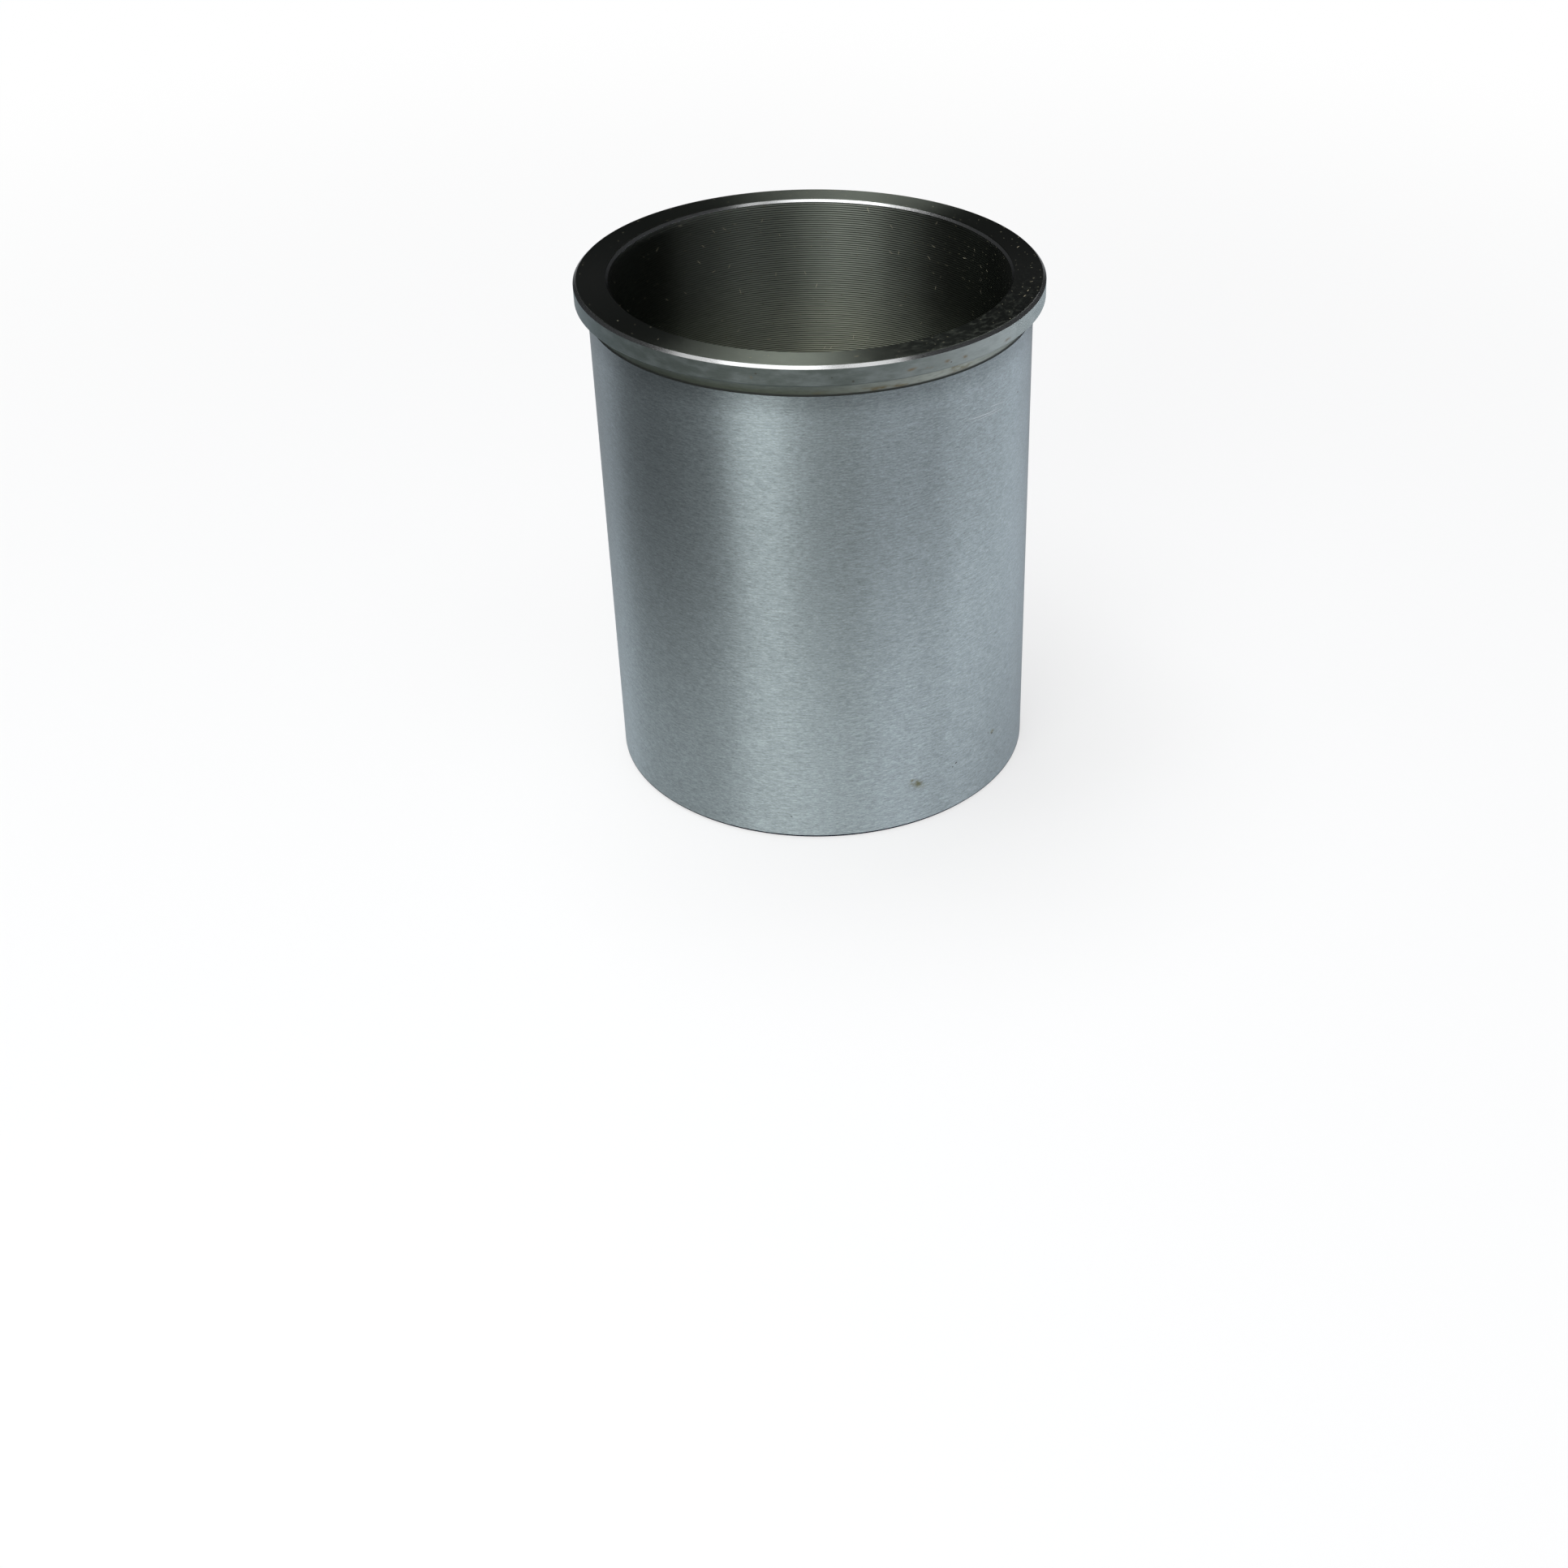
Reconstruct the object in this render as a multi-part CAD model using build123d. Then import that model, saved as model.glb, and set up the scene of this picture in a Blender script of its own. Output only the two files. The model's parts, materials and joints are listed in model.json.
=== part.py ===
from build123d import *
import os
from math import isclose

# Flanged dry cylinder liner of a small single-cylinder engine, turned from one grey-iron casting.
# It stands on its lower end with the flange uppermost, as it does on a bench.
# Origin: centre of the lower end face. +Z runs up the bore axis, towards the flange.
# Every size is in millimetres.

# Barrel
length = 110.0
bore_diameter = 82.0
wall_thickness = 4.5

# Flange that hangs in the counterbore of the block
flange_thickness = 4.2
flange_overhang = 2.5

# Relief turned just below the flange, where the grinding wheel runs out clear of the seat
relief_height = 3.1
relief_depth = 0.3
relief_root_radius = 0.3

# Edge breaks, all at 45 degrees
flange_rim_chamfer = 0.7
flange_seat_break = 0.2
bore_mouth_chamfer = 0.6
bore_tail_chamfer = 0.6
barrel_lead_chamfer = 0.6

# Finest difference at which two edges are taken for the same one
edge_tolerance = 0.001

# Radii and heights that follow from the sizes above
bore_radius = bore_diameter / 2
body_radius = bore_radius + wall_thickness
flange_radius = body_radius + flange_overhang
neck_radius = body_radius - relief_depth
seat_height = length - flange_thickness
relief_foot = seat_height - relief_height


def turned(outline):
    # A solid turned about the bore axis from a closed outline of (radius, height) points
    section = Plane.XZ * make_face(Polyline(outline, close=True))
    return revolve(section, Axis.Z)


def liner_blank():
    # Barrel and flange with the bore through, before the relief and the edge breaks
    return turned([
        (bore_radius, 0),
        (body_radius, 0),
        (body_radius, seat_height),
        (flange_radius, seat_height),
        (flange_radius, length),
        (bore_radius, length),
    ])


def relief_groove():
    # The metal that the relief takes away: square against the flange, 45 degrees at its foot
    return turned([
        (neck_radius, relief_foot + relief_depth),
        (body_radius, relief_foot),
        (flange_radius, relief_foot),
        (flange_radius, seat_height),
        (neck_radius, seat_height),
    ])


def rim(solid, radius, height):
    # The round edge of the solid that has this radius and lies at this height
    circles = solid.edges().filter_by(GeomType.CIRCLE)
    return [
        edge for edge in circles
        if isclose(edge.radius, radius, abs_tol=edge_tolerance)
        and isclose(edge.arc_center.Z, height, abs_tol=edge_tolerance)
    ]


def cylinder_liner():
    liner = liner_blank() - relief_groove()
    liner = fillet(rim(liner, neck_radius, seat_height), relief_root_radius)
    liner = chamfer(rim(liner, flange_radius, length), flange_rim_chamfer)
    liner = chamfer(rim(liner, flange_radius, seat_height), flange_seat_break)
    liner = chamfer(rim(liner, bore_radius, length), bore_mouth_chamfer)
    liner = chamfer(rim(liner, bore_radius, 0), bore_tail_chamfer)
    return chamfer(rim(liner, body_radius, 0), barrel_lead_chamfer)


os.makedirs("parts", exist_ok=True)
export_step(cylinder_liner(), "parts/cylinder_liner.step")
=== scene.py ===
import bpy
import json
from math import atan2, cos, hypot, pi, radians, sin, tan
from mathutils import Matrix, Vector


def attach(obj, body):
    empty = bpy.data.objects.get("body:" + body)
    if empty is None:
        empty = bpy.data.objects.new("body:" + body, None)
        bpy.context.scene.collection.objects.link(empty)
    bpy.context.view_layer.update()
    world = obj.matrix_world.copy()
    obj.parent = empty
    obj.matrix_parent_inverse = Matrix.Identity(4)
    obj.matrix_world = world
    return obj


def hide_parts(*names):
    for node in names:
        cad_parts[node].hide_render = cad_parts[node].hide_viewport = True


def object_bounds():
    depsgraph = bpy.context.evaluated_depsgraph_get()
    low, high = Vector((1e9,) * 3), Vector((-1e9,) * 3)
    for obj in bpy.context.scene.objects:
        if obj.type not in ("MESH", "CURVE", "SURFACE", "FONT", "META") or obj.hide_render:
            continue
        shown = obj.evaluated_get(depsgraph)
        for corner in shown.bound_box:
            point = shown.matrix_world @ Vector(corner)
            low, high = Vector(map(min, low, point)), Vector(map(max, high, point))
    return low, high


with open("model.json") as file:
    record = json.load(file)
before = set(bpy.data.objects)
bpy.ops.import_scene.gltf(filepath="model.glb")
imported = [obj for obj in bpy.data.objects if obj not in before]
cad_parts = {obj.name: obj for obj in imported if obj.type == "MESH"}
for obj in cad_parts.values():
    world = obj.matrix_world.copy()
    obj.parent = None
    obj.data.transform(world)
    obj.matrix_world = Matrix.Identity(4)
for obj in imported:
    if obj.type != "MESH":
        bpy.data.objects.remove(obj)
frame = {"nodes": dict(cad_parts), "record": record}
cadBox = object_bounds()
mm = 0.001
mounts = {mount["name"]: mount for mount in frame["record"]["mounts"]}
print("frame loaded:", sorted(frame["nodes"]))


# the liner's shape, turned about the bore axis like the real one

linerShape = {
    "facets": 192,             # round the liner
    "edgeRound": 0.06 * mm,    # what is left on each turned edge
    "edgeSteps": 2,
    "filmOver": 0.13 * mm,     # how far the dark film of the top face runs over its two edges
    "footOver": 0.18 * mm,     # how far the dark line of the foot, a dark edge with a painted contact shadow, runs up the barrel
    "reliefDepth": 0.3 * mm,
    "rootRadius": 0.3 * mm,
    "rootSteps": 4,
    "feed": 0.5 * mm,          # from one boring ring to the next
    "cuspSlope": radians(24),  # how steep a ring stands beside its crest
    "unrolled": "OFBake",      # the map that unrolls the skin
}


def wallOf(name):
    # lowest and highest point of a round mount's wall
    half = mounts[name]["dims"]["length_mm"] * mm / 2
    middle = mounts[name]["pos_m"][2]
    return middle - half, middle + half


def radiusOf(name):
    return mounts[name]["dims"]["r_mm"] * mm


def linerCorners(shape):
    # corners of the turned section: radius, height, rounding, steps, finish of the face that starts there
    top = cadBox[1].z
    seat = mounts["flange_seat"]["pos_m"][2]
    bore, body, land = radiusOf("bore"), radiusOf("barrel"), radiusOf("flange_land")
    boreFoot, boreTop = wallOf("bore")
    bodyFoot, bodyTop = wallOf("barrel")
    landFoot, landTop = wallOf("flange_land")
    neck = body - shape["reliefDepth"]
    mouth, rim = bore + top - boreTop, land - (top - landTop)
    film = shape["filmOver"]
    edge = shape["edgeRound"], shape["edgeSteps"]
    root = shape["rootRadius"], shape["rootSteps"]
    return [
        (bore, boreFoot, *edge, "boredWall"),
        (bore, boreTop, *edge, "edgeBreak"),
        (mouth - film, top - film, 0, 0, "turnedFace"),
        (mouth, top, *edge, "turnedFace"),
        (rim, top, *edge, "turnedFace"),
        (rim + film, top - film, 0, 0, "edgeBreak"),
        (land, landTop, *edge, "flangeLand"),
        (land, landFoot, *edge, "flangeLand"),
        (land - (landFoot - seat), seat, *edge, "reliefNeck"),
        (neck, seat, *root, "reliefNeck"),
        (neck, bodyTop + shape["reliefDepth"], 0, 0, "reliefNeck"),
        (body, bodyTop, *edge, "groundBarrel"),
        # the foot's dark strip: a dark edge with a painted contact shadow
        (body, bodyFoot + shape["footOver"], 0, 0, "footBreak"),
        (body, bodyFoot, *edge, "footBreak"),
        (body - bodyFoot, 0, *edge, "turnedFace"),
        (bore + boreFoot, 0, *edge, "footBreak"),
    ]


def cornerArc(before, corner, after):
    # points of the arc that rounds a corner of the section
    radius, steps = corner[2], corner[3]
    if not radius:
        return [corner[:2]]
    inward = (Vector(before[:2]) - Vector(corner[:2])).normalized()
    onward = (Vector(after[:2]) - Vector(corner[:2])).normalized()
    half = inward.angle(onward) / 2
    centre = Vector(corner[:2]) + (inward + onward).normalized() * radius / sin(half)
    start = Vector(corner[:2]) + inward * radius / tan(half)
    end = Vector(corner[:2]) + onward * radius / tan(half)
    first = atan2(start.y - centre.y, start.x - centre.x)
    turn = atan2(end.y - centre.y, end.x - centre.x) - first
    turn = (turn + pi) % (2 * pi) - pi
    angles = [first + turn * step / steps for step in range(steps + 1)]
    return [(centre.x + radius * cos(a), centre.y + radius * sin(a)) for a in angles]


def faceNormal(start, end):
    # outward normal of a straight stretch of the section
    return Vector((start[1] - end[1], end[0] - start[0])).normalized()


def ringPitch(shape):
    # the feed, taken to a whole number of rings up the bore
    foot, top = wallOf("bore")
    return (top - foot) / round((top - foot) / shape["feed"])


def boringRings(start, end, face, shape):
    # strips for the crests and hollows that the feed leaves up the bore; crests are sharp, hollows smooth
    rings = round((end[1] - start[1]) / ringPitch(shape))
    pitch = (end[1] - start[1]) / rings
    depth = pitch / 4 * tan(shape["cuspSlope"])
    below = Vector((-cos(shape["cuspSlope"]), sin(shape["cuspSlope"])))
    above = Vector((-cos(shape["cuspSlope"]), -sin(shape["cuspSlope"])))
    strips = []
    for ring in range(rings):
        foot = start[1] + ring * pitch
        crest, nextCrest = (start[0], foot), (start[0], foot + pitch)
        hollow = (start[0] + depth, foot + pitch / 2)
        strips.append((crest, hollow, below, face, "boredWall"))
        strips.append((hollow, nextCrest, face, above, "boredWall"))
    return strips


def linerStrips(shape):
    # the section as short strips: two ends, the two normals there, and a finish
    corners = linerCorners(shape)
    count = len(corners)
    arcs = [cornerArc(corners[i - 1], corners[i], corners[(i + 1) % count]) for i in range(count)]
    strips = []
    for place in range(count):
        arc, following, finish = arcs[place], arcs[(place + 1) % count], corners[place][4]
        face = faceNormal(arc[-1], following[0])
        previous = faceNormal(arcs[place - 1][-1], arc[0])
        steps = len(arc) - 1
        for step in range(steps):
            near = previous.lerp(face, step / steps).normalized()
            far = previous.lerp(face, (step + 1) / steps).normalized()
            strips.append((arc[step], arc[step + 1], near, far, finish))
        if finish == "boredWall":
            strips += boringRings(arc[-1], following[0], face, shape)
        else:
            strips.append((arc[-1], following[0], face, face, finish))
    return strips


def sectionLength(strips):
    return sum(hypot(end[0] - start[0], end[1] - start[1]) for start, end, *_ in strips)


def turnSection(name, strips, shape, finishes):
    # the solid that the strips sweep round the bore axis, with the normals that they state
    vertices, faces, normals, unrolled, slots = [], [], [], [], []
    facets, rows, length = shape["facets"], len(strips), sectionLength(strips)
    slotNames = list(finishes)
    run = 0
    for row, (start, end, near, far, finish) in enumerate(strips):
        reach = run + hypot(end[0] - start[0], end[1] - start[1])
        following = (row + 1) % rows
        for facet in range(facets):
            angle = 2 * pi * facet / facets
            beside = (facet + 1) % facets
            vertices.append((start[0] * sin(angle), start[0] * cos(angle), start[1]))
            faces.append((row * facets + facet, row * facets + beside,
                          following * facets + beside, following * facets + facet))
            slots.append(slotNames.index(finish))
            for step, normal, height in ((0, near, run), (1, near, run), (1, far, reach), (0, far, reach)):
                angle = 2 * pi * (facet + step) / facets
                normals.append((normal.x * sin(angle), normal.x * cos(angle), normal.y))
                unrolled += [(facet + step) / facets, height / length]
        run = reach
    mesh = bpy.data.meshes.new(name)
    mesh.from_pydata(vertices, [], faces)
    mesh.polygons.foreach_set("material_index", slots)
    mesh.uv_layers.new(name=shape["unrolled"]).uv.foreach_set("vector", unrolled)
    mesh.shade_smooth()
    mesh.normals_split_custom_set(normals)
    for finish in slotNames:
        mesh.materials.append(finishes[finish])
    piece = bpy.data.objects.new(name, mesh)
    bpy.context.scene.collection.objects.link(piece)
    return piece


# node helpers

def addNode(tree, kind, values=None, **options):
    # a shader node with its options and its sockets, each set to a number or fed by another socket
    fresh = tree.nodes.new("ShaderNode" + kind)
    for name, value in options.items():
        setattr(fresh, name, value)
    for key, value in (values or {}).items():
        if isinstance(value, bpy.types.NodeSocket):
            tree.links.new(value, fresh.inputs[key])
        else:
            fresh.inputs[key].default_value = value
    return fresh


def calc(tree, operation, *values):
    return addNode(tree, "Math", dict(enumerate(values)), operation=operation).outputs[0]


def vectorCalc(tree, operation, *values):
    return addNode(tree, "VectorMath", dict(enumerate(values)), operation=operation).outputs["Vector"]


def lengthOf(tree, vector):
    return addNode(tree, "VectorMath", {0: vector}, operation="LENGTH").outputs["Value"]


def fade(tree, value, start, end, low=0.0, high=1.0):
    # low at the start, high at the end, eased between
    values = {"Value": value, "From Min": start, "From Max": end, "To Min": low, "To Max": high}
    return addNode(tree, "MapRange", values, interpolation_type="SMOOTHSTEP").outputs["Result"]


def tint(tree, share, under, over):
    # one colour over another by share
    blend = addNode(tree, "Mix", {"Factor": share}, data_type="RGBA")
    for socket, colour in ((blend.inputs[6], under), (blend.inputs[7], over)):
        if isinstance(colour, bpy.types.NodeSocket):
            tree.links.new(colour, socket)
        else:
            socket.default_value = (*colour, 1)
    return blend.outputs[2]


def around(tree, value, contrast):
    # a noise from 0 to 1 as a factor that swings so far about one
    return calc(tree, "MULTIPLY_ADD", value, contrast, 1 - contrast / 2)


rollRadius = 45  # millimetres, the radius at which the skin is rolled out flat


def skinSpace(tree):
    # the skin in millimetres: a seamless space for grain, and the places round, across, up and out
    xyz = addNode(tree, "SeparateXYZ", {0: addNode(tree, "TexCoord").outputs["Object"]})
    flat = addNode(tree, "CombineXYZ", {"X": xyz.outputs["X"], "Y": xyz.outputs["Y"]}).outputs[0]
    unroll = addNode(tree, "UVMap", uv_map=linerShape["unrolled"])
    along = addNode(tree, "SeparateXYZ", {0: unroll.outputs[0]}).outputs["Y"]
    run = calc(tree, "MULTIPLY", along, sectionLength(linerStrips(linerShape)) / mm)
    ring = vectorCalc(tree, "MULTIPLY", vectorCalc(tree, "NORMALIZE", flat), (rollRadius, rollRadius, 0))
    grain = vectorCalc(tree, "ADD", ring, addNode(tree, "CombineXYZ", {"Z": run}).outputs[0])
    turn = calc(tree, "ARCTAN2", xyz.outputs["X"], calc(tree, "MULTIPLY", xyz.outputs["Y"], -1.0))
    return {
        "grain": grain,
        "degrees": calc(tree, "DEGREES", turn),  # 0 at the front, 90 at the right
        "across": calc(tree, "DIVIDE", xyz.outputs["X"], mm),
        "height": calc(tree, "DIVIDE", xyz.outputs["Z"], mm),
        "radius": calc(tree, "DIVIDE", lengthOf(tree, flat), mm),
    }


def grainNoise(tree, space, length, height, detail=2.0, seed=0.0):
    # noise whose spots are so long round the liner and so high across the turning marks
    stretched = vectorCalc(tree, "MULTIPLY", space["grain"], (1 / length, 1 / length, 1 / height))
    moved = vectorCalc(tree, "ADD", stretched, (seed, seed, seed))
    return addNode(tree, "TexNoise", {"Vector": moved, "Scale": 1.0, "Detail": detail}).outputs["Fac"]


def placeOn(tree, space, level):
    # arc and level in millimetres, level being the height or the radius
    arc = calc(tree, "MULTIPLY", space["degrees"], radians(1) * rollRadius)
    return addNode(tree, "CombineXYZ", {"X": arc, "Y": space[level]}).outputs[0]


def ovalReach(tree, away, angle, length, width):
    # how far out in a turned oval: 0 in its middle, 1 on its edge
    turned = addNode(tree, "VectorRotate", {"Vector": away, "Angle": angle}, rotation_type="Z_AXIS")
    return lengthOf(tree, vectorCalc(tree, "MULTIPLY", turned.outputs[0], (2 / length, 2 / width, 0)))


def markAt(tree, place, degrees, level, length, width, lean=0, softness=0.6):
    # one stain, pit or scratch: 1 in its middle, 0 outside
    away = vectorCalc(tree, "SUBTRACT", place, (radians(degrees) * rollRadius, level, 0))
    return fade(tree, ovalReach(tree, away, radians(-lean), length, width), 1.0, 1.0 - softness)


def marksOn(tree, place, marks):
    total = 0.0
    for mark in marks:
        spot = markAt(tree, place, *mark[:4], **(mark[4] if len(mark) > 4 else {}))
        total = calc(tree, "MAXIMUM", spot, total)
    return total


def shadeOn(tree, place, marks, shade):
    # a factor that is the shade in the middle of the marks and one outside them
    return calc(tree, "MULTIPLY_ADD", marksOn(tree, place, marks), shade - 1, 1.0)


# shares of the full size: the smallest fleck, and the solid core of each
fleckLook = {"smallest": 0.3, "core": 0.5}


def flecks(tree, place, region, cell, length, width, share):
    # short fibres and specks at random, turned every way: one to a cell in a share of the region's cells
    cells = addNode(tree, "TexVoronoi", {"Vector": place, "Scale": 1 / cell}, voronoi_dimensions="2D")
    chance = addNode(tree, "SeparateXYZ", {0: cells.outputs["Color"]})
    away = vectorCalc(tree, "SUBTRACT", place, cells.outputs["Position"])
    angle = calc(tree, "MULTIPLY", chance.outputs["X"], 2 * pi)
    size = calc(tree, "MULTIPLY_ADD", chance.outputs["Z"], 1 - fleckLook["smallest"], fleckLook["smallest"])
    reach = calc(tree, "DIVIDE", ovalReach(tree, away, angle, length, width), size)
    spot = fade(tree, reach, 1.0, fleckLook["core"])
    chosen = calc(tree, "LESS_THAN", chance.outputs["Y"], calc(tree, "MULTIPLY", region, share))
    return calc(tree, "MULTIPLY", spot, chosen)


def metal(name, look):
    # a bare iron finish whose gloss spreads across the turning marks
    material = bpy.data.materials.new(name)
    material.use_nodes = True
    tree = material.node_tree
    shader = tree.nodes["Principled BSDF"]
    shader.inputs["Base Color"].default_value = (*look["colour"], 1)
    shader.inputs["Metallic"].default_value = 1
    shader.inputs["Roughness"].default_value = look["roughness"]
    shader.inputs["Specular Tint"].default_value = (*look["edgeTint"], 1)
    shader.inputs["Anisotropic"].default_value = look["anisotropic"]
    shader.inputs["Anisotropic Rotation"].default_value = 0.25  # a quarter turn, across the marks
    tangent = addNode(tree, "Tangent", direction_type="RADIAL", axis="Z")
    tree.links.new(tangent.outputs["Tangent"], shader.inputs["Tangent"])
    return material, tree, shader


def feed(tree, shader, **sockets):
    for name, value in sockets.items():
        tree.links.new(value, shader.inputs[name.replace("_", " ")])


def scaleColour(tree, colour, value):
    # a colour lightened or darkened by a number
    return addNode(tree, "VectorMath", {0: colour, "Scale": value}, operation="SCALE").outputs["Vector"]


def relief(tree, height, depth):
    # bump for a height from 0 to 1 that stands so many metres proud
    return addNode(tree, "Bump", {"Height": height, "Distance": depth, "Strength": 1.0}).outputs["Normal"]


def unevenRoughness(tree, look, value):
    # the finish's roughness, swung by a noise
    return calc(tree, "MULTIPLY_ADD", value, look["roughSpread"], look["roughness"] - look["roughSpread"] / 2)


def marksOver(tree, place, colour, marks, over, share):
    # a colour with marks of another over it, as strong as the share
    return tint(tree, calc(tree, "MULTIPLY", marksOn(tree, place, marks), share), colour, over)


def dustOver(tree, place, region, colour, look):
    # the colour with specks and fibres of dust over it, and where they lie
    specks = flecks(tree, place, region, *look["specks"])
    fibres = flecks(tree, place, region, *look["fibres"])
    colour = tint(tree, specks, colour, look["dust"])
    colour = tint(tree, fibres, colour, look["fibre"])
    return colour, calc(tree, "MAXIMUM", specks, fibres)


def dustyRoughness(tree, look, value, dust):
    # the same, with the dust duller than the metal
    rough = unevenRoughness(tree, look, value)
    return calc(tree, "MAXIMUM", rough, calc(tree, "MULTIPLY", dust, look["dustRough"]))


soft = {"softness": 1.0}  # a mark that fades all the way out from its middle


# ground barrel; here and in the finishes below lengths are in millimetres, a noise is its length, height,
# detail and seed, and a mark is degrees round, height or radius, length, width and how it leans or fades

barrelLook = {
    "colour": (0.240, 0.280, 0.292),
    "roughness": 0.45,
    "roughSpread": 0.10,
    "stainRough": 0.15,         # how much rougher a stain is
    "edgeTint": (0.90, 0.95, 1.0),
    "anisotropic": 0.90,
    "streak": (1.5, 0.30, 3.0, 0.0),
    "streakContrast": 0.97,
    "streakDepth": 0.006 * mm,
    "fine": (0.5, 0.12, 2.0, 31.0),
    "fineContrast": 0.97,
    "cloud": (4.5, 2.7, 3.0, 12.0),
    "cloudContrast": 0.20,
    "footHeight": (0.0, 86.0),  # from the painted light and shade at the foot to the painted shade at the top
    "topShade": 0.76,           # painted shade, darker towards the top under the flange
    "edgeHeight": (97.0, 102.6),
    "edgeShade": 0.74,          # and painted shade, darker still just below the relief
    "footAcross": (12.0, 48.0),
    "footLeft": 1.30,           # painted light and shade at the foot, as far right as the first of those
    "footRight": 0.68,          # and at the second
    # painted shade, darker high up on the left
    "oiled": [(-46, 100, 46, 180, soft)],
    "oilShade": 0.62,
    # painted highlight, lighter high up along the key light's highlight
    "worn": [(-14, 102, 26, 130, soft)],
    "wornShade": 1.38,
    # painted shade, dimming that highlight at the foot
    "dulled": [(-14, 5, 22, 110, soft)],
    "dullShade": 0.86,
    # painted light, lighter on the right at mid height
    "cleaned": [(52, 50, 80, 110, soft)],
    "cleanShade": 1.22,
    "scratches": [(47, 91.6, 14.6, 0.14, {"lean": -5, "softness": 0.7}), (53, 92.2, 8.0, 0.10, {"lean": -8}),
                  (50, 90.9, 16.0, 0.08, {"lean": -4})],
    "scratchColour": (0.6, 0.6, 0.58),
    "scratchShare": 0.5,
    "pits": [(64.4, 91.2, 0.9, 0.5), (38.5, 11.9, 0.9, 0.45, {"lean": 20}), (37.3, 11.3, 0.5, 0.3),
             (53.9, 13.6, 0.9, 0.5), (52.0, 14.4, 0.5, 0.35), (72.9, 6.4, 0.7, 0.5), (-69, 5.2, 0.7, 0.5),
             (-9.4, 5.5, 0.8, 0.3, {"lean": -35}), (80.5, 7.8, 0.7, 0.5)],
    "pitColour": (0.045, 0.04, 0.035),
    "pitShare": 0.95,
    "stains": [(25.7, 10.4, 6.0, 2.9, {**soft, "lean": -30}), (24.0, 11.6, 2.0, 1.3, soft),
               (54, 14.0, 2.4, 1.4, soft)],
    "stainColour": (0.155, 0.155, 0.09),
    "patches": (1.2, 0.8, 3.0, 71.0),
    "patchRange": (0.25, 0.65),  # of the patches' noise, from no stain to a full one
}


def groundBarrel(look):
    material, tree, shader = metal("groundBarrel", look)
    space = skinSpace(tree)
    place = placeOn(tree, space, "height")
    streak = grainNoise(tree, space, *look["streak"])
    # painted light and shade in the level: lighter at the left of the foot and darker at its right, darker
    # towards the top and below the relief, and the painted patches; then the grain
    foot = fade(tree, space["across"], *look["footAcross"], look["footLeft"], look["footRight"])
    level = fade(tree, space["height"], *look["footHeight"], foot, look["topShade"])
    edge = fade(tree, space["height"], *look["edgeHeight"], 1.0, look["edgeShade"])
    level = calc(tree, "MULTIPLY", level, edge)
    for region, shade in (("oiled", "oilShade"), ("worn", "wornShade"),
                          ("dulled", "dullShade"), ("cleaned", "cleanShade")):
        level = calc(tree, "MULTIPLY", level, shadeOn(tree, place, look[region], look[shade]))
    fine = grainNoise(tree, space, *look["fine"])
    cloud = grainNoise(tree, space, *look["cloud"])
    for noise, contrast in ((streak, "streakContrast"), (fine, "fineContrast"), (cloud, "cloudContrast")):
        level = calc(tree, "MULTIPLY", level, around(tree, noise, look[contrast]))
    colour = scaleColour(tree, look["colour"], level)
    patchy = fade(tree, grainNoise(tree, space, *look["patches"]), *look["patchRange"])
    stain = calc(tree, "MULTIPLY", marksOn(tree, place, look["stains"]), patchy)
    colour = tint(tree, stain, colour, look["stainColour"])
    colour = marksOver(tree, place, colour, look["scratches"], look["scratchColour"], look["scratchShare"])
    colour = marksOver(tree, place, colour, look["pits"], look["pitColour"], look["pitShare"])
    rough = calc(tree, "MULTIPLY_ADD", stain, look["stainRough"], unevenRoughness(tree, look, streak))
    feed(tree, shader, Base_Color=colour, Roughness=rough, Normal=relief(tree, streak, look["streakDepth"]))
    return material


# land of the flange, with the film and stains of handling

landLook = {
    "colour": (0.066, 0.078, 0.073),
    "bareColour": (0.108, 0.124, 0.122),
    "bareRange": (0.35, 0.75),              # of the cloud's noise, from film to bare metal
    "rubbed": [(62, 107.6, 92, 60, soft)],  # lighter towards the right: partly the metal's own paler film, partly painted light
    "rubbedRange": (0.2, 0.6, 0.7, 1.0),    # of the cloud's noise, and how strong the lighter colour is at each end
    "rubbedColour": (0.198, 0.222, 0.218),
    "roughness": 0.5,
    "roughSpread": 0.2,
    "edgeTint": (0.85, 0.94, 1.0),
    "anisotropic": 0.3,
    "streak": (1.6, 0.25, 3.0, 5.0),
    "streakContrast": 0.3,
    "streakDepth": 0.006 * mm,
    "cloud": (4.0, 1.6, 4.0, 8.0),
    "stains": [(22.5, 107.4, 3.4, 0.9, {**soft, "lean": 8}), (27, 107.0, 2.6, 0.8, soft),
               (32, 107.4, 2.2, 1.0, soft), (37, 107.2, 1.8, 1.0, soft),
               (-14, 107.4, 0.9, 1.2, soft), (52, 106.8, 3.0, 0.9, soft)],
    "rust": (0.105, 0.088, 0.062),
    "patches": (1.4, 0.7, 3.0, 52.0),
    "patchRange": (0.25, 0.60),
    "pits": [(8.8, 106.6, 0.6, 0.6), (4, 107.6, 0.4, 0.3), (33, 107.0, 0.5, 0.4), (-13, 108.2, 0.6, 0.4)],
    "pitColour": (0.04, 0.035, 0.03),
    "pitShare": 0.7,
}


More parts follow.
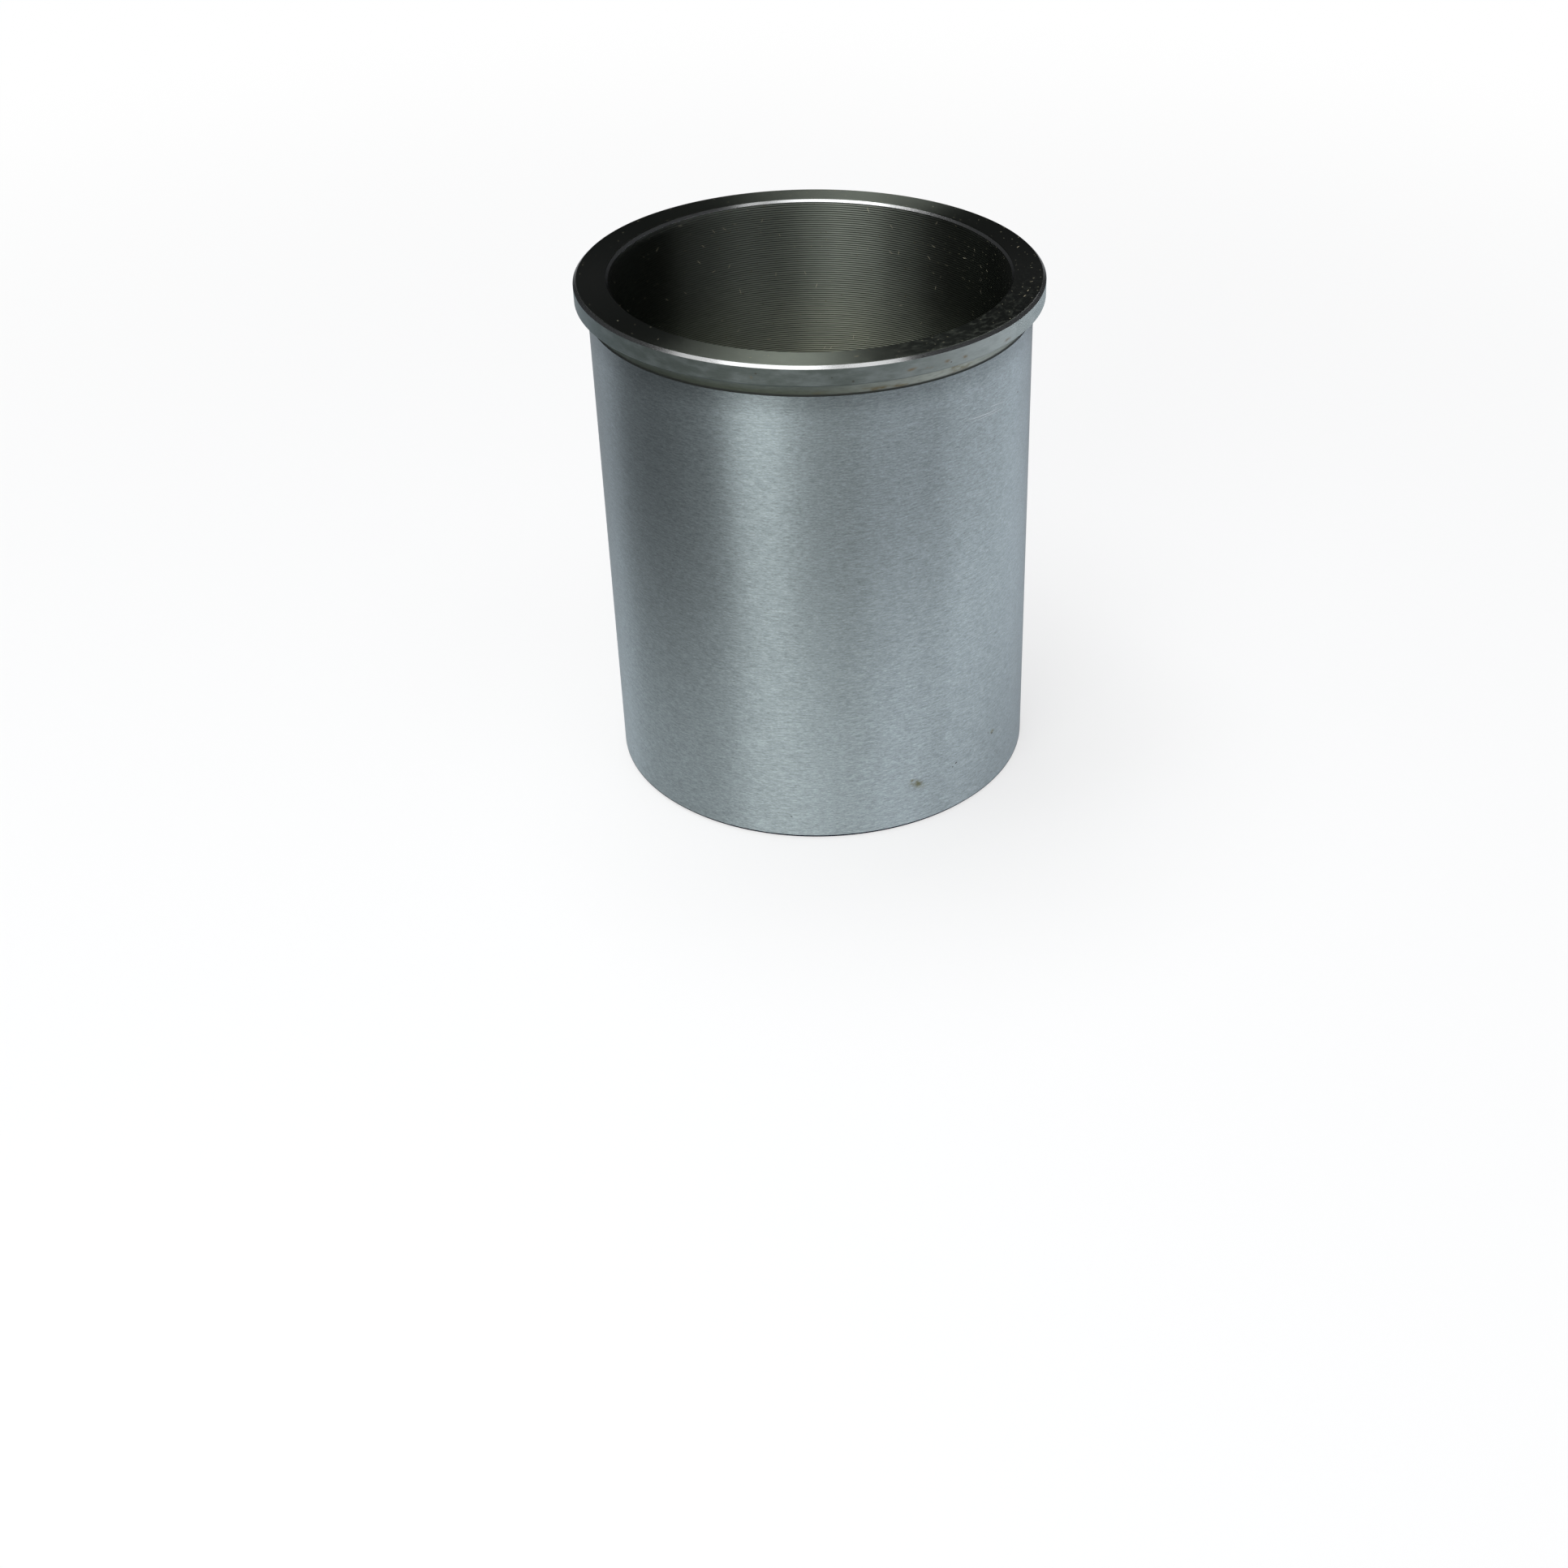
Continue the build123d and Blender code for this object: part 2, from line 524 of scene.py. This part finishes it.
def flangeLand(look):
    material, tree, shader = metal("flangeLand", look)
    space = skinSpace(tree)
    place = placeOn(tree, space, "height")
    streak = grainNoise(tree, space, *look["streak"])
    cloud = grainNoise(tree, space, *look["cloud"])
    colour = tint(tree, fade(tree, cloud, *look["bareRange"]), look["colour"], look["bareColour"])
    # lighter towards the right, partly painted light
    paintedLightShare = fade(tree, cloud, *look["rubbedRange"])
    colour = marksOver(tree, place, colour, look["rubbed"], look["rubbedColour"], paintedLightShare)
    colour = scaleColour(tree, colour, around(tree, streak, look["streakContrast"]))
    patchy = fade(tree, grainNoise(tree, space, *look["patches"]), *look["patchRange"])
    colour = marksOver(tree, place, colour, look["stains"], look["rust"], patchy)
    colour = marksOver(tree, place, colour, look["pits"], look["pitColour"], look["pitShare"])
    feed(tree, shader, Base_Color=colour, Roughness=unevenRoughness(tree, look, cloud),
         Normal=relief(tree, streak, look["streakDepth"]))
    return material


# relief under the flange, where grime and old oil gather, with painted shade along its foot and painted light
# on its right

neckLook = {
    "colour": (0.084, 0.098, 0.090),
    # painted light, lighter on the right of the relief under the flange
    "rubbed": [(36, 104, 72, 30, soft)],
    "rubbedColour": (0.195, 0.214, 0.196),
    "roughness": 0.625,
    "roughSpread": 0.25,
    "edgeTint": (0.85, 0.94, 1.0),
    "anisotropic": 0.4,
    "streak": (1.5, 0.25, 3.0, 3.0),
    "streakContrast": 0.5,
    "cloud": (3.0, 1.0, 4.0, 17.0),
    "olive": (0.056, 0.064, 0.046),
    "oliveHeight": (104.5, 103.3, 0.0, 0.7),  # two heights, and how much of it there is at each
    # near black at the foot of the relief: grime and a painted shade under the flange
    "grime": (0.026, 0.028, 0.024),
    "grimeHeight": (103.2, 102.85),
    "grimeMetallic": 0.4,
    "rust": (0.100, 0.078, 0.038),
    "rusty": [(14, 103.2, 34, 1.6, soft), (38, 104, 14, 3, soft)],
    "rustRange": (0.4, 0.65),                 # of the cloud's noise
}


def reliefNeck(look):
    material, tree, shader = metal("reliefNeck", look)
    space = skinSpace(tree)
    place = placeOn(tree, space, "height")
    streak = grainNoise(tree, space, *look["streak"])
    cloud = grainNoise(tree, space, *look["cloud"])
    low = fade(tree, space["height"], *look["oliveHeight"])
    colour = tint(tree, low, look["colour"], look["olive"])
    # painted light on the right
    colour = tint(tree, marksOn(tree, place, look["rubbed"]), colour, look["rubbedColour"])
    colour = scaleColour(tree, colour, around(tree, streak, look["streakContrast"]))
    patchy = fade(tree, cloud, *look["rustRange"])
    colour = marksOver(tree, place, colour, look["rusty"], look["rust"], patchy)
    # grime and painted shade along the foot of the relief
    deep = fade(tree, space["height"], *look["grimeHeight"])
    colour = tint(tree, deep, colour, look["grime"])
    metallic = fade(tree, deep, 0.0, 1.0, 1.0, look["grimeMetallic"])
    feed(tree, shader, Base_Color=colour, Roughness=unevenRoughness(tree, look, cloud), Metallic=metallic)
    return material


# turned top face, dark with oil, dusty towards the right

faceLook = {
    "colour": (0.060, 0.067, 0.057),
    "roughness": 0.40,
    "roughSpread": 0.08,
    "edgeTint": (1.0, 1.0, 1.0),
    "anisotropic": 1.0,
    "streak": (2.5, 0.12, 3.0, 7.0),
    "streakContrast": 0.4,
    "streakDepth": 0.004 * mm,
    "cloud": (1.6, 0.9, 4.0, 23.0),
    "cloudContrast": 0.3,
    "smudge": (0.060, 0.064, 0.046),
    "smudges": [(45, 44.4, 90, 60, soft)],
    "smudged": 0.50,
    "smudgeRange": (0.45, 0.80),             # of the cloud's noise
    "smudgeDull": 0.8,                       # how far a smudge hides the metal
    # painted highlight, lighter towards the front and front right
    "rubbed": [(2, 44.4, 36, 40, soft), (35, 44.4, 52, 40, soft)],
    "rubbedShade": 1.7,
    "dust": (0.13, 0.125, 0.085),
    "dustRough": 0.9,
    "dustAcross": (-20.0, 30.0, 0.25, 1.0),  # from the left to the right, and how dusty it is there
    "specks": (1.5, 0.65, 0.36, 0.28),       # size of the cells, length, width, share with a fleck
    "fibre": (0.30, 0.27, 0.19),
    "fibres": (5.5, 1.5, 0.24, 0.30),
}


def turnedFace(look):
    material, tree, shader = metal("turnedFace", look)
    space = skinSpace(tree)
    place = placeOn(tree, space, "radius")
    streak = grainNoise(tree, space, *look["streak"])
    cloud = grainNoise(tree, space, *look["cloud"])
    level = calc(tree, "MULTIPLY", around(tree, cloud, look["cloudContrast"]),
                 around(tree, streak, look["streakContrast"]))
    # painted highlight in the marked places
    level = calc(tree, "MULTIPLY", level, shadeOn(tree, place, look["rubbed"], look["rubbedShade"]))
    colour = scaleColour(tree, look["colour"], level)
    smudges = calc(tree, "MULTIPLY", marksOn(tree, place, look["smudges"]), look["smudged"])
    smudge = calc(tree, "MULTIPLY", fade(tree, cloud, *look["smudgeRange"]), smudges)
    colour = tint(tree, smudge, colour, look["smudge"])
    dusty = fade(tree, space["across"], *look["dustAcross"])
    colour, dust = dustOver(tree, place, dusty, colour, look)
    rough = dustyRoughness(tree, look, cloud, dust)
    hidden = calc(tree, "MAXIMUM", dust, calc(tree, "MULTIPLY", smudge, look["smudgeDull"]))
    feed(tree, shader, Base_Color=colour, Roughness=rough, Metallic=calc(tree, "SUBTRACT", 1.0, hidden),
         Normal=relief(tree, streak, look["streakDepth"]))
    return material


# bored wall, with an olive film of oil low down and flecks of dust, and painted light and shade on its sides,
# its rings and its highlight

boreLook = {
    "colour": (0.148, 0.163, 0.143),
    # the film's olive colour, lighter than the bare wall, with painted light deeper down
    "film": (0.260, 0.270, 0.200),
    "filmHeight": (98.0, 62.0),              # from none to full
    "filmPatches": (1.2, -0.1),              # the cloud's noise times the first, plus the second
    "leftShade": (-33.0, -14.0, 0.50, 1.0),  # painted shade, darker towards both sides: where, and how dark
    "rightShade": (28.0, 19.0, 0.60, 1.0),
    "sideHeight": (94.0, 74.0),              # where that painted shade ends
    "outer": (14.0, 32.0, 1.0, 1.45),        # and painted light, the sides lighter by their distance from the middle
    "outerHeight": (92.0, 76.0),
    # painted shade over the brightest part of the highlight
    "oiled": [(165, 101, 22, 60, soft)],
    "oilShade": 0.71,
    "ringShade": 0.68,                       # painted shade and light on the rings: how much darker the side of each ring that faces down is, and lighter the side that faces up
    "ringsLeft": (-26.0, -8.0, 0.4, 1.0),    # and how much weaker that is towards both sides
    "ringsRight": (30.0, 18.0, 0.5, 1.0),
    "uneven": (9.0, 0.6, 2.0, 61.0),
    "unevenContrast": 1.2,
    "darkest": 0.05,
    "roughness": 0.45,
    "roughSpread": 0.2,
    "edgeTint": (1.0, 1.0, 1.0),
    "anisotropic": 0.9,
    "streak": (3.0, 0.3, 3.0, 9.0),
    "streakContrast": 0.4,
    "cloud": (12.0, 9.0, 3.0, 41.0),
    "dust": (0.11, 0.105, 0.07),
    "dustRough": 0.9,
    "dusty": [(120, 101, 62, 32, soft), (-160, 102.5, 24, 17, soft), (144, 105, 18, 12, soft)],
    "dustElsewhere": 0.25,
    "specks": (1.6, 0.60, 0.30, 0.50),
    "fibre": (0.38, 0.355, 0.27),
    "fibres": (3.0, 1.7, 0.19, 0.50),
}


def boredWall(look):
    material, tree, shader = metal("boredWall", look)
    space = skinSpace(tree)
    place = placeOn(tree, space, "height")
    streak = grainNoise(tree, space, *look["streak"])
    cloud = grainNoise(tree, space, *look["cloud"])
    # the olive film, fuller deeper down, its lighter colour partly painted light
    deep = fade(tree, space["height"], *look["filmHeight"])
    film = calc(tree, "MULTIPLY", calc(tree, "MULTIPLY_ADD", cloud, *look["filmPatches"]), deep)
    colour = tint(tree, film, look["colour"], look["film"])
    above = calc(tree, "SUBTRACT", space["height"], wallOf("bore")[0] / mm)
    turns = calc(tree, "MULTIPLY", above, 2 * pi * mm / ringPitch(linerShape))
    uneven = around(tree, grainNoise(tree, space, *look["uneven"]), look["unevenContrast"])
    # painted ring shade and light, weaker towards both sides
    middle = calc(tree, "MULTIPLY", fade(tree, space["across"], *look["ringsLeft"]),
                  fade(tree, space["across"], *look["ringsRight"]))
    contrast = calc(tree, "MULTIPLY", calc(tree, "MULTIPLY", uneven, middle), look["ringShade"])
    ring = calc(tree, "MULTIPLY", calc(tree, "SINE", turns), contrast)
    level = calc(tree, "ADD", around(tree, streak, look["streakContrast"]), ring)
    level = calc(tree, "MAXIMUM", level, look["darkest"])
    # painted shade on the sides high up, painted light on them lower down, and painted shade over the
    # highlight
    sides = calc(tree, "MULTIPLY", fade(tree, space["across"], *look["leftShade"]),
                 fade(tree, space["across"], *look["rightShade"]))
    outer = fade(tree, calc(tree, "ABSOLUTE", space["across"]), *look["outer"])
    for shade in (fade(tree, space["height"], *look["sideHeight"], sides, 1.0),
                  fade(tree, space["height"], *look["outerHeight"], 1.0, outer),
                  shadeOn(tree, place, look["oiled"], look["oilShade"])):
        level = calc(tree, "MULTIPLY", level, shade)
    colour = scaleColour(tree, colour, level)
    marked = marksOn(tree, place, look["dusty"])
    region = calc(tree, "MULTIPLY_ADD", marked, 1 - look["dustElsewhere"], look["dustElsewhere"])
    colour, dust = dustOver(tree, place, region, colour, look)
    rough = dustyRoughness(tree, look, cloud, dust)
    feed(tree, shader, Base_Color=colour, Roughness=rough, Metallic=calc(tree, "SUBTRACT", 1.0, dust))
    return material


# broken edges: clean cuts at the flange; at the foot a dark edge with a painted contact shadow

edgeGrain = {"grain": (0.4, 0.2, 3.0, 13.0), "roughSpread": 0.2}
edgeLooks = {
    "edgeBreak": {**edgeGrain, "colour": (0.35, 0.355, 0.355), "grit": 0.35, "edgeTint": (0.35, 0.36, 0.37),
                  "roughness": 0.22, "anisotropic": 0.4, "metallic": 1.0, "specular": 0.5},
    # near black and without gloss: a dark edge with a painted contact shadow along the foot
    "footBreak": {**edgeGrain, "colour": (0.012, 0.013, 0.022), "grit": 0.3, "edgeTint": (0.3, 0.3, 0.35),
                  "roughness": 0.7, "anisotropic": 0.0, "metallic": 0.0, "specular": 0.0},
}


def brokenEdge(name, look):
    material, tree, shader = metal(name, look)
    shader.inputs["Metallic"].default_value = look["metallic"]
    shader.inputs["Specular IOR Level"].default_value = look["specular"]
    space = skinSpace(tree)
    grit = grainNoise(tree, space, *look["grain"])
    colour = scaleColour(tree, look["colour"], around(tree, grit, look["grit"]))
    feed(tree, shader, Base_Color=colour, Roughness=unevenRoughness(tree, look, grit))
    return material


finishes = {
    "groundBarrel": groundBarrel(barrelLook),
    "flangeLand": flangeLand(landLook),
    "reliefNeck": reliefNeck(neckLook),
    "turnedFace": turnedFace(faceLook),
    "boredWall": boredWall(boreLook),
    "edgeBreak": brokenEdge("edgeBreak", edgeLooks["edgeBreak"]),
    "footBreak": brokenEdge("footBreak", edgeLooks["footBreak"]),
}
liner = turnSection("turned_liner", linerStrips(linerShape), linerShape, finishes)
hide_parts("cylinder_liner")
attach(liner, "root")
print("liner turned:", len(liner.data.polygons), "faces in", len(finishes), "finishes")


# floor, lamps and camera

floorLook = {
    "size": 6,
    "below": 0.02 * mm,     # a hair lower than the liner's end, so that the two don't share a plane
    "colour": (0.82, 0.83, 0.84),
    "seenWhite": 0.68,      # how far the camera sees the floor as a white sweep, beside the liner
    "seenWhiteAway": 1.0,   # and well away from it
    "away": (0.12, 0.60),   # metres from the liner over which that changes
    "mirroredWhite": 0.62,  # how far the metal sees it so
}


def paleFloor(look):
    half = look["size"] / 2
    corners = [(-half, -half, 0), (half, -half, 0), (half, half, 0), (-half, half, 0)]
    mesh = bpy.data.meshes.new("floor")
    mesh.from_pydata(corners, [], [(0, 1, 2, 3)])
    floor = bpy.data.objects.new("floor", mesh)
    floor.location.z = -look["below"]
    bpy.context.scene.collection.objects.link(floor)
    material = bpy.data.materials.new("floorPaint")
    material.use_nodes = True
    tree = material.node_tree
    shader = tree.nodes["Principled BSDF"]
    shader.inputs["Base Color"].default_value = (*look["colour"], 1)
    shader.inputs["Roughness"].default_value = 1
    shader.inputs["Specular IOR Level"].default_value = 0
    rays = addNode(tree, "LightPath").outputs
    place = addNode(tree, "TexCoord").outputs["Object"]
    white = fade(tree, lengthOf(tree, place), *look["away"], look["seenWhite"], look["seenWhiteAway"])
    seen = calc(tree, "MULTIPLY", rays["Is Camera Ray"], white)
    mirrored = calc(tree, "MAXIMUM", rays["Is Glossy Ray"], rays["Is Transmission Ray"])
    share = calc(tree, "MAXIMUM", seen, calc(tree, "MULTIPLY", mirrored, look["mirroredWhite"]))
    glow = addNode(tree, "Emission", {"Color": (1, 1, 1, 1), "Strength": 1.0})
    mix = addNode(tree, "MixShader", {0: share, 1: shader.outputs["BSDF"], 2: glow.outputs["Emission"]})
    tree.links.new(mix.outputs[0], tree.nodes["Material Output"].inputs["Surface"])
    mesh.materials.append(material)


tones = {"plain": (1.0, 1.0, 1.0), "warm": (1.0, 1.0, 0.97), "cool": (1.0, 1.0, 1.06)}

# soft panels: degrees round (0 is the front, 90 the right), degrees up, metres away, width, height,
# glow and tone
panels = {
    "roofLeft": (-74, 57, 1.20, 0.31, 0.78, 1.55, "plain"),
    "roofFront": (-30, 71, 1.06, 0.62, 0.52, 3.3, "plain"),
    "roofBack": (-143, 75, 1.04, 0.62, 0.52, 5.3, "plain"),
    "roofRight": (42, 63, 1.15, 0.38, 0.30, 2.2, "plain"),
    "keyLow": (-27, 4.3, 0.95, 0.68, 0.13, 3.0, "warm"),
    "keyLowCore": (-26, 4.3, 0.94, 0.32, 0.13, 2.2, "warm"),
    "keyMiddle": (-27, 22, 0.95, 0.46, 0.26, 4.7, "warm"),
    "keyHigh": (-14, 42, 0.95, 0.54, 0.26, 2.3, "warm"),
    "frontLow": (7, 4.3, 1.00, 0.60, 0.14, 4.5, "plain"),
    "rightFrontLow": (41, 4.3, 1.00, 0.66, 0.14, 6.9, "cool"),
    "rightLow": (90, 4.3, 1.00, 1.06, 0.14, 9.6, "cool"),
    "rightBackLow": (125, 4.3, 1.00, 0.36, 0.14, 6.5, "cool"),
    "rightHigh": (60, 28, 1.00, 0.90, 0.30, 0.85, "cool"),
    "leftBackLow": (-120, 4.3, 1.00, 0.36, 0.14, 2.9, "cool"),
}


def placePanel(name, panel):
    azimuth, elevation, distance, width, height, glow, tone = panel
    azimuth, elevation = radians(azimuth), radians(elevation)
    toPanel = Vector((sin(azimuth) * cos(elevation), -cos(azimuth) * cos(elevation), sin(elevation)))
    light = bpy.data.lights.new(name, "AREA")
    light.shape = "RECTANGLE"
    light.size, light.size_y = width, height
    light.energy = glow * pi * width * height
    light.color = tones[tone]
    lamp = bpy.data.objects.new(name, light)
    lamp.location = toPanel * distance
    lamp.rotation_euler = toPanel.to_track_quat("Z", "Y").to_euler()
    lamp.visible_camera = False
    bpy.context.scene.collection.objects.link(lamp)


roomGrey = (0.078, 0.080, 0.082)  # the dim room round the floor


def studioWorld(colour):
    world = bpy.data.worlds.new("studio")
    world.use_nodes = True
    world.node_tree.nodes["Background"].inputs["Color"].default_value = (*colour, 1)
    bpy.context.scene.world = world


cameraPlace = {
    "frame": 1932,            # pixels a side
    "focalPixels": 2692,
    "axisColumn": 1180,       # where the lens points, so the frame is shifted sideways
    "back": 426.2 * mm,
    "aboveFace": 166.8 * mm,
    "tilt": 34.63,            # degrees
    "pan": 4.21,
    "lean": -0.764,
    "sensor": 36,
}


def photoCamera(place):
    data = bpy.data.cameras.new("camera")
    data.sensor_width = place["sensor"]
    data.lens = place["sensor"] * place["focalPixels"] / place["frame"]
    data.shift_x = 0.5 - place["axisColumn"] / place["frame"]
    camera = bpy.data.objects.new("camera", data)
    stand = Matrix.Translation((0, -place["back"], cadBox[1].z + place["aboveFace"]))
    pan = Matrix.Rotation(-radians(place["pan"]), 4, "Z")
    tilt = Matrix.Rotation(radians(90 - place["tilt"]), 4, "X")
    lean = Matrix.Rotation(-radians(place["lean"]), 4, "Z")
    camera.matrix_world = stand @ pan @ tilt @ lean
    bpy.context.scene.collection.objects.link(camera)
    bpy.context.scene.camera = camera


paleFloor(floorLook)
for name, panel in panels.items():
    placePanel(name, panel)
studioWorld(roomGrey)
photoCamera(cameraPlace)
bpy.context.scene.view_settings.view_transform = "Standard"
print("floor,", len(panels), "panels and camera placed")
